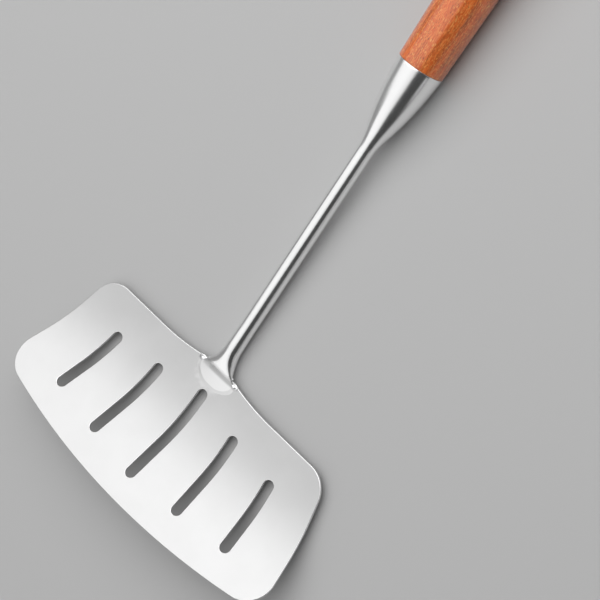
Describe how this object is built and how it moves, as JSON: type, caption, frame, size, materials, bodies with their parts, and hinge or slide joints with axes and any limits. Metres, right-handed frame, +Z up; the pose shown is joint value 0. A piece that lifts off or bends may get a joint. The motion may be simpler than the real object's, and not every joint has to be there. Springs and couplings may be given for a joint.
{
  "type": "wok spatula",
  "caption": "Wide slotted turner with a bent steel blade on a tubular shank, a flared ferrule, a turned wooden grip and a hanging loop, for turning food in a wok or pan.",
  "frame": {"origin": "on the surface that the spatula lies on, under the middle of its bounding box", "axes": "+Y from the blade to the tail, +X to the right seen from above with the tail away, +Z up from the surface"},
  "size_m": [0.2014, 0.39, 0.0297],
  "materials": {
    "satin_steel": "fine satin stainless steel",
    "weld_steel": "polished stainless weld bead",
    "polished_steel": "polished stainless steel",
    "plated_steel": "zinc plated",
    "rosewood": "oiled rosewood with a soft sheen"
  },
  "bodies": {
    "root": {"blade": "satin_steel", "tongue_weld": "weld_steel", "shoulder_weld_left": "weld_steel", "shoulder_weld_right": "weld_steel", "underside_weld": "weld_steel", "shank": "polished_steel", "ferrule": "polished_steel", "anchor_disc": "plated_steel", "tie_rod": "plated_steel", "grip": "rosewood", "washer": "plated_steel", "nut": "plated_steel", "end_cap": "polished_steel", "hanging_loop": "polished_steel"}
  },
  "joints": []
}
